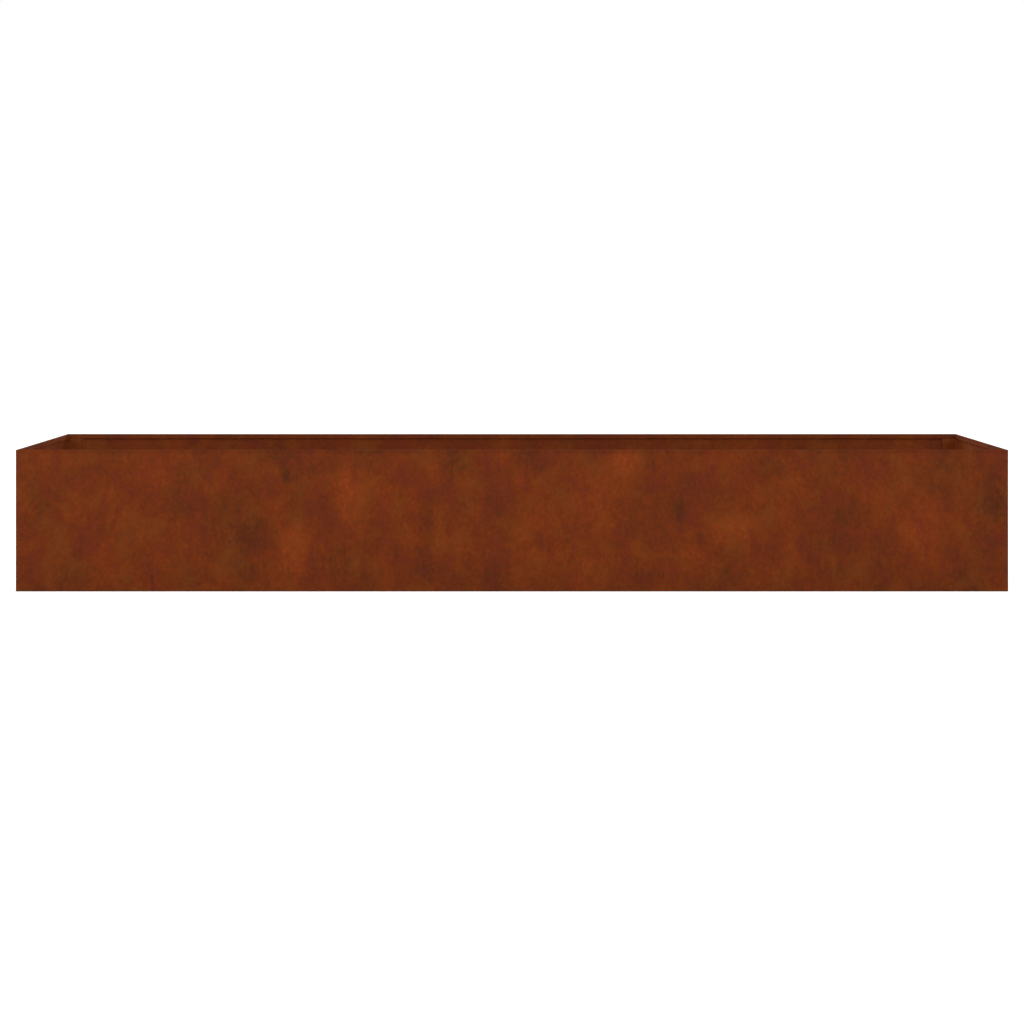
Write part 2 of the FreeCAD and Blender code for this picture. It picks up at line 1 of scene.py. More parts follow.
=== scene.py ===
import bmesh
import bpy
import math
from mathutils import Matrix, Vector


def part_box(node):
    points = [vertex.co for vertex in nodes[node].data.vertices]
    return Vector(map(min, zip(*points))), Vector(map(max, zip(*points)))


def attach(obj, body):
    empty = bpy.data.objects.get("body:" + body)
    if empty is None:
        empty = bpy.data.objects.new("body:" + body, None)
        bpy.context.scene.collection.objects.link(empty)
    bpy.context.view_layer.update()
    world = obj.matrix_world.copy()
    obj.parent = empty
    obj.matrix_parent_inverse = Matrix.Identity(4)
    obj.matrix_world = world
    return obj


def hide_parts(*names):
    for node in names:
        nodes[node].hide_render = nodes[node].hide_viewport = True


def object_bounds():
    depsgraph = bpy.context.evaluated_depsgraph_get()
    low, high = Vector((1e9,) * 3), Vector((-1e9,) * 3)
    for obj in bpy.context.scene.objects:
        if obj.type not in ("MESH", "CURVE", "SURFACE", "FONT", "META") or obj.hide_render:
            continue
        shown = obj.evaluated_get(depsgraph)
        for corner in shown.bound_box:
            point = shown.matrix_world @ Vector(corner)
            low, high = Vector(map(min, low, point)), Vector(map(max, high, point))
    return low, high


# A long planter box of weathering steel sheet. The sheet parts come from the frame as they are,
# with a rust patina, and every fastener is made here in full detail.

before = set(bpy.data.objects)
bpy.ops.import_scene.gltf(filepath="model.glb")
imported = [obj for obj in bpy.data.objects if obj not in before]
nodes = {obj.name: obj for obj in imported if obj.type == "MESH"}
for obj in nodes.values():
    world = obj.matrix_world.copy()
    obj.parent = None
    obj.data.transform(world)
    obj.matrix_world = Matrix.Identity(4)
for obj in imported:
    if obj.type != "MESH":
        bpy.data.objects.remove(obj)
boxLow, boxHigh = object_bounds()
mm = 0.001
front = boxLow.y
top = boxHigh.z
scene = bpy.context.scene
print("frame: the box is", [round(size, 3) for size in boxHigh - boxLow], "m")


def colour(hexText):
    # sRGB hex to the linear numbers that shaders take
    parts = [int(hexText[start:start + 2], 16) / 255 for start in (1, 3, 5)]
    linear = [((part + 0.055) / 1.055) ** 2.4 if part > 0.04045 else part / 12.92 for part in parts]
    return (*linear, 1)


def addNode(tree, kind, links=None, **settings):
    # links: socket name or number to a value, to a node (its first output) or to an output socket
    node = tree.nodes.new(kind)
    for name, value in settings.items():
        setattr(node, name, value)
    for socket, source in (links or {}).items():
        if isinstance(source, bpy.types.Node):
            source = source.outputs[0]
        if isinstance(source, bpy.types.NodeSocket):
            tree.links.new(source, node.inputs[socket])
        else:
            node.inputs[socket].default_value = source
    return node


def fillRamp(ramp, tones):
    # tones: place on the ramp to sRGB hex
    stops = ramp.color_ramp.elements
    while len(stops) < len(tones):
        stops.new(0.5)
    for stop, (at, tone) in zip(stops, tones.items()):
        stop.position = at
        stop.color = colour(tone)


# Camera: level, square to the front, with the horizon raised by shift

view = {"fromFront": 3.425, "height": 0.8285, "lens": 42.675, "sensor": 36, "shift": -0.2091}

cameraData = bpy.data.cameras.new("camera")
cameraData.lens = view["lens"]
cameraData.sensor_width = view["sensor"]
cameraData.shift_y = view["shift"]
camera = bpy.data.objects.new("camera", cameraData)
camera.location = (0, front - view["fromFront"], view["height"])
camera.rotation_euler = (math.radians(90), 0, 0)
scene.collection.objects.link(camera)
scene.camera = camera
scene.view_settings.view_transform = "Standard"
print("camera: placed")


# Studio: white all round, pale floor, a broad soft light in front and above, one at each end
# for the insides, and one behind

studio = {
    "surround": 1.0,        # what the camera sees behind the box
    "surroundLight": 0.55,  # what the white walls of the studio give
    "floorSize": 400,
    "floorTone": "#9F9D99",
    "floorRough": 0.9,
    "floorGlow": 0.87,      # lifts the floor to white where it is seen, but not under the box
    "glowEdge": (-4, 8),    # mm out from the box's sides, where the glow starts and is full; the fade leaves a painted shade round the box's foot
    "aim": (0, 0, 0.25),
    "lights": {             # place in m, size in m, power in W
        "key": ((-0.7, -4.4, 4.0), 2.6, 243),
        "left": ((-3.9, -1.2, 2.9), 1.8, 88),
        "right": ((3.9, -1.2, 2.9), 1.8, 104),
        "back": ((0, 4.8, 2.6), 2.6, 165),
    },
}

world = bpy.data.worlds.new("studio")
world.use_nodes = True
surround = world.node_tree.nodes["Background"]
surround.inputs["Color"].default_value = (1, 1, 1, 1)
seen = addNode(world.node_tree, "ShaderNodeLightPath").outputs["Is Camera Ray"]
strength = addNode(world.node_tree, "ShaderNodeMapRange", {
    "Value": seen, "To Min": studio["surroundLight"], "To Max": studio["surround"],
})
world.node_tree.links.new(strength.outputs[0], surround.inputs["Strength"])
scene.world = world

floorMaterial = bpy.data.materials.new("pale floor")
floorMaterial.use_nodes = True
floorShader = floorMaterial.node_tree.nodes["Principled BSDF"]
floorShader.inputs["Base Color"].default_value = colour(studio["floorTone"])
floorShader.inputs["Roughness"].default_value = studio["floorRough"]
floorShader.inputs["Specular IOR Level"].default_value = 0
floorShader.inputs["Emission Color"].default_value = (1, 1, 1, 1)
floorTree = floorMaterial.node_tree
seen = addNode(floorTree, "ShaderNodeLightPath").outputs["Is Camera Ray"]
ground = addNode(floorTree, "ShaderNodeTexCoord").outputs["Object"]
away = addNode(floorTree, "ShaderNodeVectorMath", {0: ground}, operation="ABSOLUTE")
away = addNode(floorTree, "ShaderNodeVectorMath", {0: away, 1: boxHigh}, operation="SUBTRACT")
away = addNode(floorTree, "ShaderNodeSeparateXYZ", {0: away})
edge = addNode(floorTree, "ShaderNodeMath", {
    0: away.outputs["X"], 1: away.outputs["Y"],
}, operation="MAXIMUM")
# The glow fades out towards the box: a painted shade round its foot
clear = addNode(floorTree, "ShaderNodeMapRange", {
    "Value": edge, "From Min": studio["glowEdge"][0] * mm, "From Max": studio["glowEdge"][1] * mm,
})
clear = addNode(floorTree, "ShaderNodeMath", {0: clear, 1: seen}, operation="MULTIPLY")
glow = addNode(floorTree, "ShaderNodeMath", {0: clear, 1: studio["floorGlow"]}, operation="MULTIPLY")
floorTree.links.new(glow.outputs[0], floorShader.inputs["Emission Strength"])
bpy.ops.mesh.primitive_plane_add(size=studio["floorSize"])
floor = bpy.context.object
floor.name = "studio_floor"
floor.data.materials.append(floorMaterial)

for name, (spot, size, power) in studio["lights"].items():
    lightData = bpy.data.lights.new(name, "AREA")
    lightData.shape = "DISK"
    lightData.size = size
    lightData.energy = power
    light = bpy.data.objects.new(name, lightData)
    light.location = spot
    light.rotation_euler = (Vector(studio["aim"]) - light.location).to_track_quat("-Z", "Y").to_euler()
    scene.collection.objects.link(light)
print("studio: lit")


# Weathering steel: sheet left to rust until the rust seals it. It gives a dull, soft-edged
# mottle of red-brown to orange-brown, with a fine dry grain and a few dark runs down the wall.

rust = {
    "patch": 170,                # mm, the largest patches of the mottle
    "speck": 2.6,                # mm, the finest ones
    "drawnOut": 1.25,            # patches are taller than wide, as the rain runs down
    "fineness": 0.84,            # how strong each finer layer of the mottle is against the last
    "mottle": 0.55,              # contrast
    "mottleSpan": (0.28, 0.72),  # part of the noise that the contrast is spread over
    "wander": 60,                # mm, the waves in the edges of marks
    "warp": 22,                  # mm, how far those edges wander
    "markEdge": (1.5, 0.2),      # where a mark starts and is full, in half widths from its middle
    "drainPitch": 120,           # mm
    "drainRings": ((38, 26, -0.13), (24, 6, -0.12)),  # mm from the hole at start and full, and tone
    "runWidth": 14,              # mm, the dark runs
    "runLength": 110,            # mm
    "runSpan": (0.66, 0.80),     # a higher start gives fewer runs
    "spot": 11,                  # mm, small light and dark spots
    "spotSpan": (0.25, 0.75),
    "spotTone": 0.13,
    "grain": 0.9,                # mm, the dry grain, drawn coarser than the real 0.2 so that it shows
    "grainTone": 0.16,
    "hueArea": 95,               # mm
    "purpleSpan": (0.52, 0.32),
    "ochreSpan": (0.50, 0.68),
    "hueStrength": 0.46,
    "rimHeight": 15,             # mm, the band that darkens up to the rim
    "rimTone": 0.80,
    "edgeHeight": 1.6,           # mm, the rim's own edge, darker again: painted shade over the highlight of the bend
    "paintedEdgeShade": 0.62,
    "footHeight": 75,            # mm, the band that darkens down to the ground
    "footTone": 0.92,
    "skin": (1.0, 1.6),          # mm in from the outline, where the painted light and shade of the insides take over
    "insideLongShade": 0.87,          # painted shade: the long walls' insides darker than their outsides
    "insideEndLight": 1.21,           # painted light: the end walls' insides brighter than their outsides
    "hemLightStrip": 6,               # mm, the strip of painted light under the hem, over its shadow
    "hemGap": 1,                 # mm from the hem to where the strip is full
    "hemPaintedLight": 1.7,
    "rough": 0.86,
    "roughSpread": (-0.08, 0.10),
    "roughSpan": (0.3, 0.7),     # part of the mottle's noise that the spread is laid over
    "shine": 0.06,               # specular level
    "lumps": (0.5, 0.8),         # strength, and depth in mm, of the spots' relief
    "relief": (0.6, 0.4),        # and of the grain's
    "tones": {
        0.0: "#40200B", 0.26: "#51260E", 0.44: "#5F290E",
        0.58: "#672C0E", 0.76: "#733111", 1.0: "#823C14",
    },
    "purple": "#571F18",
    "ochre": "#6C3814",
}

# Marks on the front wall: middle along the wall and height, half width and half height in mm,
# and how much darker (below 0) or brighter the rust is there
frontMarks = [
    (-775, 130, 90, 150, -0.20),
    (-715, 165, 48, 46, -0.16),
    (-640, 330, 13, 42, -0.26),
    (-690, 385, 80, 26, -0.14),
    (-610, 128, 46, 72, 0.24),
    (-455, 255, 44, 112, 0.26),
    (-245, 150, 22, 130, -0.17),
    (-128, 372, 80, 42, -0.18),
    (-1320, 270, 56, 46, -0.12),
    (-955, 38, 46, 42, -0.12),
    (-1010, 325, 38, 38, 0.10),
    (48, 378, 50, 42, -0.13),
    (205, 265, 66, 92, 0.10),
    (320, 366, 46, 42, 0.20),
    (475, 222, 13, 48, -0.24),
    (535, 152, 11, 28, -0.18),
    (620, 174, 60, 50, 0.18),
    (725, 352, 52, 40, -0.15),
    (955, 222, 46, 46, -0.14),
    (1150, 196, 72, 72, 0.20),
    (1355, 268, 40, 72, -0.20),
    (398, 44, 34, 40, -0.15),
    (925, 42, 66, 42, -0.13),
]

hemHeight = 14  # mm, the fold at the rim
hemFoot = top - hemHeight * mm
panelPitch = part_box("floor_panel_2")[0].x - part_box("floor_panel_1")[0].x


def weatheringSteel(name, lightness=0.0, marks=(), wall=False, drains=False, runs=0.16, seed=(0, 0, 0)):
    material = bpy.data.materials.new(name)
    material.use_nodes = True
    tree = material.node_tree
    shader = tree.nodes["Principled BSDF"]
    place = addNode(tree, "ShaderNodeTexCoord").outputs["Object"]
    moved = addNode(tree, "ShaderNodeMapping", {
        "Vector": place, "Location": seed, "Scale": (1, 1, 1 / rust["drawnOut"]),
    })

    octaves = math.log2(rust["patch"] / rust["speck"])
    mottle = addNode(tree, "ShaderNodeTexNoise", {
        "Vector": moved, "Scale": 1 / (rust["patch"] * mm), "Detail": octaves,
        "Roughness": rust["fineness"],
    })
    level = addNode(tree, "ShaderNodeMapRange", {
        "Value": mottle, "From Min": rust["mottleSpan"][0], "From Max": rust["mottleSpan"][1],
        "To Min": 0.5 - 0.5 * rust["mottle"], "To Max": 0.5 + 0.5 * rust["mottle"],
    }, clamp=False)

    # Soft marks, with wandering edges
    wander = addNode(tree, "ShaderNodeTexNoise", {
        "Vector": moved, "Scale": 1 / (rust["wander"] * mm), "Detail": 3,
    })
    centred = addNode(tree, "ShaderNodeVectorMath", {
        0: wander.outputs["Color"], 1: (0.5, 0.5, 0.5),
    }, operation="SUBTRACT")
    pushed = addNode(tree, "ShaderNodeVectorMath", {
        0: centred, "Scale": 2 * rust["warp"] * mm,
    }, operation="SCALE")
    warped = addNode(tree, "ShaderNodeVectorMath", {0: place, 1: pushed}, operation="ADD")
    total = level
    for along, height, halfWidth, halfHeight, strength in marks:
        near = addNode(tree, "ShaderNodeMapping", {
            "Vector": warped,
            "Location": (-along * mm, -front, -height * mm),
        }, vector_type="POINT")
        scaled = addNode(tree, "ShaderNodeVectorMath", {
            0: near, 1: (1 / (halfWidth * mm), 0, 1 / (halfHeight * mm)),
        }, operation="MULTIPLY")
        distance = addNode(tree, "ShaderNodeVectorMath", {0: scaled}, operation="LENGTH").outputs["Value"]
        mark = addNode(tree, "ShaderNodeMapRange", {
            "Value": distance, "From Min": rust["markEdge"][0], "From Max": rust["markEdge"][1],
            "To Max": strength,
        }, interpolation_type="SMOOTHSTEP")
        total = addNode(tree, "ShaderNodeMath", {0: total, 1: mark}, operation="ADD")

    if drains:
        # Water has stood round each drain hole and dried in a darker ring
        parts = addNode(tree, "ShaderNodeSeparateXYZ", {0: warped})
        along = addNode(tree, "ShaderNodeMath", {
            0: parts.outputs["X"], 1: panelPitch, 2: 0.0,
        }, operation="WRAP")
        along = addNode(tree, "ShaderNodeMath", {0: along, 1: panelPitch / 2}, operation="SUBTRACT")
        along = addNode(tree, "ShaderNodeMath", {
            0: along, 1: rust["drainPitch"] / 2 * mm, 2: -rust["drainPitch"] / 2 * mm,
        }, operation="WRAP")
        across = addNode(tree, "ShaderNodeMath", {
            0: parts.outputs["Y"], 1: rust["drainPitch"] / 2 * mm, 2: -rust["drainPitch"] / 2 * mm,
        }, operation="WRAP")
        nearDrain = addNode(tree, "ShaderNodeCombineXYZ", {"X": along, "Y": across})
        nearDrain = addNode(tree, "ShaderNodeVectorMath", {
            0: nearDrain,
        }, operation="LENGTH").outputs["Value"]
        for start, full, strength in rust["drainRings"]:
            ring = addNode(tree, "ShaderNodeMapRange", {
                "Value": nearDrain, "From Min": start * mm, "From Max": full * mm, "To Max": strength,
            }, interpolation_type="SMOOTHSTEP")
            total = addNode(tree, "ShaderNodeMath", {0: total, 1: ring}, operation="ADD")

    # Dark runs down the wall
    stretched = addNode(tree, "ShaderNodeMapping", {
        "Vector": moved,
        "Scale": (1 / (rust["runWidth"] * mm), 1 / (rust["runWidth"] * mm), 1 / (rust["runLength"] * mm)),
    })
    runNoise = addNode(tree, "ShaderNodeTexNoise", {"Vector": stretched, "Scale": 1, "Detail": 2})
    run = addNode(tree, "ShaderNodeMapRange", {
        "Value": runNoise, "From Min": rust["runSpan"][0], "From Max": rust["runSpan"][1],
        "To Max": -runs,
    }, interpolation_type="SMOOTHSTEP")
    total = addNode(tree, "ShaderNodeMath", {0: total, 1: run}, operation="ADD")

    # Small spots, and the dry grain
    spots = addNode(tree, "ShaderNodeTexNoise", {
        "Vector": moved, "Scale": 1 / (rust["spot"] * mm), "Detail": 2, "Roughness": 0.6,
    })
    spotTone = addNode(tree, "ShaderNodeMapRange", {
        "Value": spots, "From Min": rust["spotSpan"][0], "From Max": rust["spotSpan"][1],
        "To Min": -rust["spotTone"], "To Max": rust["spotTone"],
    })
    total = addNode(tree, "ShaderNodeMath", {0: total, 1: spotTone}, operation="ADD")
    grain = addNode(tree, "ShaderNodeTexNoise", {
        "Vector": moved, "Scale": 1 / (rust["grain"] * mm), "Detail": 3, "Roughness": 0.7,
    })
    grainTone = addNode(tree, "ShaderNodeMapRange", {
        "Value": grain, "To Min": -rust["grainTone"], "To Max": rust["grainTone"],
    })
    total = addNode(tree, "ShaderNodeMath", {0: total, 1: grainTone}, operation="ADD")
    total = addNode(tree, "ShaderNodeMath", {0: total, 1: lightness}, operation="ADD", use_clamp=True)

    ramp = addNode(tree, "ShaderNodeValToRGB", {"Fac": total})
    fillRamp(ramp, rust["tones"])

    # Hue wanders from purple-brown to ochre over hand-sized areas
    hue = addNode(tree, "ShaderNodeTexNoise", {
        "Vector": moved, "Scale": 1 / (rust["hueArea"] * mm), "Detail": 4, "Roughness": 0.7,
        "Distortion": 0.4,
    })
    toPurple = addNode(tree, "ShaderNodeMapRange", {
        "Value": hue, "From Min": rust["purpleSpan"][0], "From Max": rust["purpleSpan"][1],
        "To Max": rust["hueStrength"],
    })
    toOchre = addNode(tree, "ShaderNodeMapRange", {
        "Value": hue, "From Min": rust["ochreSpan"][0], "From Max": rust["ochreSpan"][1],
        "To Max": rust["hueStrength"],
    })
    tinted = addNode(tree, "ShaderNodeMix", {
        "Factor": toPurple, 6: ramp, 7: colour(rust["purple"]),
    }, data_type="RGBA")
    tinted = addNode(tree, "ShaderNodeMix", {
        "Factor": toOchre, 6: tinted.outputs[2], 7: colour(rust["ochre"]),
    }, data_type="RGBA")
    shade = tinted.outputs[2]

    if wall:
        # The rim and the foot are darker, and the rim's very edge carries painted shade. The insides
        # carry painted shade on the long walls and painted light on the ends, to even out how unequally
        # light reaches the long walls and the ends.
        height = addNode(tree, "ShaderNodeSeparateXYZ", {0: place}).outputs["Z"]
        gain = 1
        for low, high, lowTone, highTone in (
            (top - rust["rimHeight"] * mm, top, 1, rust["rimTone"]),
            # painted shade on the rim's edge, over the bend's highlight
            (top - rust["edgeHeight"] * mm, top, 1, rust["paintedEdgeShade"]),
            (0, rust["footHeight"] * mm, rust["footTone"], 1),
        ):
            tone = addNode(tree, "ShaderNodeMapRange", {
                "Value": height, "From Min": low, "From Max": high,
                "To Min": lowTone, "To Max": highTone,
            })
            gain = addNode(tree, "ShaderNodeMath", {0: gain, 1: tone}, operation="MULTIPLY")
        outward = addNode(tree, "ShaderNodeVectorMath", {0: place}, operation="ABSOLUTE")
        depth = addNode(tree, "ShaderNodeVectorMath", {0: boxHigh, 1: outward}, operation="SUBTRACT")
        depth = addNode(tree, "ShaderNodeSeparateXYZ", {0: depth})
        nearest = addNode(tree, "ShaderNodeMath", {
            0: depth.outputs["X"], 1: depth.outputs["Y"],
        }, operation="MINIMUM")
        within = addNode(tree, "ShaderNodeMapRange", {
            "Value": nearest, "From Min": rust["skin"][0] * mm, "From Max": rust["skin"][1] * mm,
        })
        # Painted light and shade by the way an inside faces: darker on the long walls, brighter on the
        # ends
        facing = addNode(tree, "ShaderNodeNewGeometry").outputs["True Normal"]
        facing = addNode(tree, "ShaderNodeVectorMath", {0: facing}, operation="ABSOLUTE")
        facing = addNode(tree, "ShaderNodeSeparateXYZ", {0: facing}).outputs["X"]
        paintedInsideShading = addNode(tree, "ShaderNodeMapRange", {
            "Value": facing, "To Min": rust["insideLongShade"], "To Max": rust["insideEndLight"],
        })
        # Painted light: a strip under the hem is brighter, to even out the hem's shadow
        underHemLight = addNode(tree, "ShaderNodeMapRange", {
            "Value": height, "To Min": 1, "To Max": rust["hemPaintedLight"],
            "From Min": hemFoot - rust["hemLightStrip"] * mm, "From Max": hemFoot - rust["hemGap"] * mm,
        })
        below = addNode(tree, "ShaderNodeMath", {0: height, 1: hemFoot}, operation="LESS_THAN")
        hemPaintedLight = addNode(tree, "ShaderNodeMapRange", {"Value": below, "To Min": 1, "To Max": underHemLight})
        paintedInsideShading = addNode(tree, "ShaderNodeMath", {0: paintedInsideShading, 1: hemPaintedLight}, operation="MULTIPLY")
        tone = addNode(tree, "ShaderNodeMapRange", {"Value": within, "To Min": 1, "To Max": paintedInsideShading})
        gain = addNode(tree, "ShaderNodeMath", {0: gain, 1: tone}, operation="MULTIPLY")
        shade = addNode(tree, "ShaderNodeVectorMath", {
            0: shade, "Scale": gain,
        }, operation="SCALE").outputs[0]

    tree.links.new(shade, shader.inputs["Base Color"])
    roughness = addNode(tree, "ShaderNodeMapRange", {
        "Value": mottle, "From Min": rust["roughSpan"][0], "From Max": rust["roughSpan"][1],
        "To Min": rust["rough"] + rust["roughSpread"][0],
        "To Max": rust["rough"] + rust["roughSpread"][1],
    })
    tree.links.new(roughness.outputs[0], shader.inputs["Roughness"])
    shader.inputs["Specular IOR Level"].default_value = rust["shine"]
    lumps = addNode(tree, "ShaderNodeBump", {
        "Height": spots, "Strength": rust["lumps"][0], "Distance": rust["lumps"][1] * mm,
    })
    relief = addNode(tree, "ShaderNodeBump", {
        "Height": grain, "Strength": rust["relief"][0], "Distance": rust["relief"][1] * mm,
        "Normal": lumps.outputs["Normal"],
    })
    tree.links.new(relief.outputs["Normal"], shader.inputs["Normal"])
    return material


finishes = {
    "front_wall": weatheringSteel("rusted wall sheet, front", marks=frontMarks, wall=True),
    "back_wall": weatheringSteel("rusted wall sheet, back", wall=True, seed=(3.1, 0, 0.7)),
    "left_end_wall": weatheringSteel("rusted wall sheet, left end", wall=True, seed=(0.4, 2.2, 1.3)),
    "right_end_wall": weatheringSteel("rusted wall sheet, right end", wall=True, seed=(1.9, 4.6, 0.2)),
}
floorFinish = weatheringSteel(
    "rusted floor sheet", lightness=-0.02, drains=True, runs=0, seed=(0.9, 1.4, 2.7),
)
barFinish = weatheringSteel("rusted bar steel", lightness=-0.05, runs=0.1, seed=(2.3, 0.6, 3.9))
for name, node in nodes.items():
    if name.startswith("floor_panel"):
        finishes[name] = floorFinish
    if "_rib_" in name or name.startswith("tie_bar"):
        finishes[name] = barFinish
for name, finish in finishes.items():
    nodes[name].material_slots[0].material = finish
print("weathering steel: on", len(finishes), "nodes")


# Fasteners: cold-headed and rolled stainless steel, with real threads. Each kind is one mesh with its
# axis up and its foot at z 0, in mm, and one set of nodes puts it in its rows on both long walls.

fastener = {
    # Sizes in mm. A pair is a width, across the flats for a hexagon, and a height.
    "studThread": 6, "studPitch": 1.0, "studLength": 16, "studTip": 0.8,
    "collar": 8, "collarRise": 1,
    "studNut": (10, 5.2), "studWasher": (14, 1.6),
    "boltThread": 8, "boltPitch": 1.25, "boltLength": 22, "boltTip": 1.0, "boltHead": (13, 5.3),
    "boltNut": (13, 6.8), "boltWasher": (16, 1.6),
    "nutGap": 0.05, "washerGap": 0.2,
    "threadDepth": 0.613,              # in pitches
    "threadTurn": (0.12, 0.48, 0.66),  # shares of a pitch: crest ends, root starts, root ends
    "trim": 0.475,                     # radius of a hexagon's trimmed face, as a share of its flats
    "trimAngle": 30,
    "dish": 0.25,                      # the hollow in a bolt's head
    "dishRadii": (0.30, 0.36),         # its floor and its rim, as shares of the flats
    "headFoot": 0.35,                  # how high a bolt's hexagon ends over the joint
    "seatRise": 0.3,                   # the round washer face under it
    "seatRadii": (0.48, 0.47),         # its top and foot, as shares of the flats
    "countersink": 0.5,                # at both ends of a nut's bore
    "washerCrisp": (0.12, 0.1),        # the crisp side's edges, at the hole and outside
    "washerDrawn": (0.35, 0.45),       # the drawn side's
    "washerBend": 0.13,                # how far in the middle of the outer drawn edge lies
    "flashWaves": ((0.09, 3, 1), (0.05, 7, 0)),  # of the weld metal's edge: depth, count, phase
    "flashRises": (0.4, 0.75, 0.95),   # where it leans in, rounds off and meets the neck
    "flashInset": 0.2,
    "neck": 0.1,                       # how far the weld metal reaches out from the thread
    "sides": 24, "hexSides": 36,
    "sharpAngle": 32,                  # edges steeper than this stay crisp
}


def spun(rings, sides, shift=0, loop=False):
    # A ring is a radius and a height, each a number or a function of the angle. With a shift, the seam
    # joins each ring to a later one, so that the rings wind upwards as a thread does.
    def at(value, angle):
        return value(angle) if callable(value) else value

    points = []
    for radius, height in rings:
        for side in range(sides):
            angle = math.tau * side / sides
            distance = at(radius, angle)
            points.append((distance * math.cos(angle), distance * math.sin(angle), at(height, angle)))
    faces = []
    for ring in range(len(rings) if loop else len(rings) - 1):
        for side in range(sides):
            after = (side + 1) % sides
            lift = shift if after == 0 else 0
            corners = ((ring, side), (ring + lift, after), (ring + lift + 1, after), (ring + 1, side))
            if loop:
                corners = [(row % len(rings), column) for row, column in corners]
            if corners[2][0] < len(rings):
                faces.append([row * sides + column for row, column in corners])
    return points, faces


def meshOf(name, *shells):
    # Shells share their end rings, and a ring of no width closes to a point
    shape = bmesh.new()
    for points, faces in shells:
        corners = [shape.verts.new(Vector(point) * mm) for point in points]
        for face in faces:
            shape.faces.new([corners[index] for index in face])
    bmesh.ops.remove_doubles(shape, verts=shape.verts, dist=0.002 * mm)
    bmesh.ops.dissolve_degenerate(shape, edges=shape.edges, dist=0.001 * mm)
    bmesh.ops.recalc_face_normals(shape, faces=shape.faces)
    mesh = bpy.data.meshes.new(name)
    shape.to_mesh(mesh)
    shape.free()
    return mesh


def hexagon(flats):
    side = math.radians(60)
    half = math.radians(30)
    return lambda angle: flats / 2 / math.cos((angle + half) % side - half)


def chamfered(flats, level, way):
    # Height of the cone that trims a hexagon's corners, away from the face at this level
    outline = hexagon(flats)
    slope = math.tan(math.radians(fastener["trimAngle"]))
    return lambda angle: level + way * (outline(angle) - fastener["trim"] * flats) * slope


def thread(size, pitch, low, high, tip, sides):
    # Crest, crest, root, root for every turn. It runs out at the foot and is cut by the cone of the tip.
    crest = size / 2
    root = crest - fastener["threadDepth"] * pitch
    crestEnd, rootStart, rootEnd = fastener["threadTurn"]
    turn = ((0, crest), (crestEnd, crest), (rootStart, root), (rootEnd, root))
    rings = []
    for count in range(math.ceil((high - low) / pitch) + 2):
        for part, radius in turn:
            def height(angle, level=low + (count + part - 1) * pitch):
                return min(max(level + pitch * angle / math.tau, low), high)

            def width(angle, radius=radius, height=height):
                level = height(angle)
                return min(radius, root + (level - low), crest - tip + (high - level))

            rings.append((width, height))
    return spun(rings, sides, shift=len(turn)), root


def weldStud():
    size = fastener["studThread"]
    high = fastener["studLength"]
    rise = fastener["collarRise"]
    sides = fastener["sides"]
    windings, root = thread(size, fastener["studPitch"], rise, high, fastener["studTip"], sides)

    def flash(inset):
        # The squeezed-out weld metal is a little uneven
        waves = fastener["flashWaves"]
        edge = fastener["collar"] / 2 - sum(depth for depth, count, phase in waves) - inset
        return lambda angle: edge + sum(
            depth * math.sin(count * angle + phase) for depth, count, phase in waves
        )

    lean, shoulder, meet = fastener["flashRises"]
    foot = spun([
        (0, 0), (flash(0), 0), (flash(0), lean * rise), (flash(fastener["flashInset"]), shoulder * rise),
        (size / 2 + fastener["neck"], meet * rise), (root, rise),
    ], sides)
    tip = spun([(size / 2 - fastener["studTip"], high), (0, high)], sides)
    return meshOf("weld stud", foot, windings, tip)


def hexBolt():
    flats, rise = fastener["boltHead"]
    dish = fastener["dish"]
    dishFloor, dishRim = fastener["dishRadii"]
    seatTop, seatFoot = fastener["seatRadii"]
    size = fastener["boltThread"]
    high = fastener["boltLength"]
    sides = fastener["hexSides"]
    windings, root = thread(size, fastener["boltPitch"], 0, high, fastener["boltTip"], sides)
    head = spun([
        (0, dish - rise), (dishFloor * flats, dish - rise), (dishRim * flats, -rise),
        (fastener["trim"] * flats, -rise), (hexagon(flats), chamfered(flats, -rise, 1)),
        (hexagon(flats), -fastener["headFoot"]), (seatTop * flats, -fastener["seatRise"]),
        (seatFoot * flats, 0), (root, 0),
    ], sides)
    tip = spun([(size / 2 - fastener["boltTip"], high), (0, high)], sides)
    return meshOf("hex bolt", head, windings, tip)


def hexNut(size, flats, rise):
    bore = size / 2 + fastener["nutGap"]
    sink = fastener["countersink"]
    face = fastener["trim"] * flats
    return meshOf("hex nut", spun([
        (bore, sink), (bore + sink, 0), (face, 0),
        (hexagon(flats), chamfered(flats, 0, 1)), (hexagon(flats), chamfered(flats, rise, -1)),
        (face, rise), (bore + sink, rise), (bore, rise - sink),
    ], fastener["hexSides"], loop=True))


def washer(size, width, rise):
    # A stamped washer has one edge drawn round and the other left crisp
    hole = size / 2 + fastener["washerGap"]
    edge = width / 2
    bend = fastener["washerBend"]
    holeCrisp, edgeCrisp = fastener["washerCrisp"]
    holeDrawn, edgeDrawn = fastener["washerDrawn"]
    return meshOf("washer", spun([
        (hole, holeCrisp), (hole + holeCrisp, 0), (edge - edgeCrisp, 0), (edge, edgeCrisp),
        (edge, rise - edgeDrawn), (edge - bend, rise - bend), (edge - edgeDrawn, rise),
        (hole + holeDrawn, rise), (hole, rise - holeDrawn),
    ], fastener["hexSides"], loop=True))


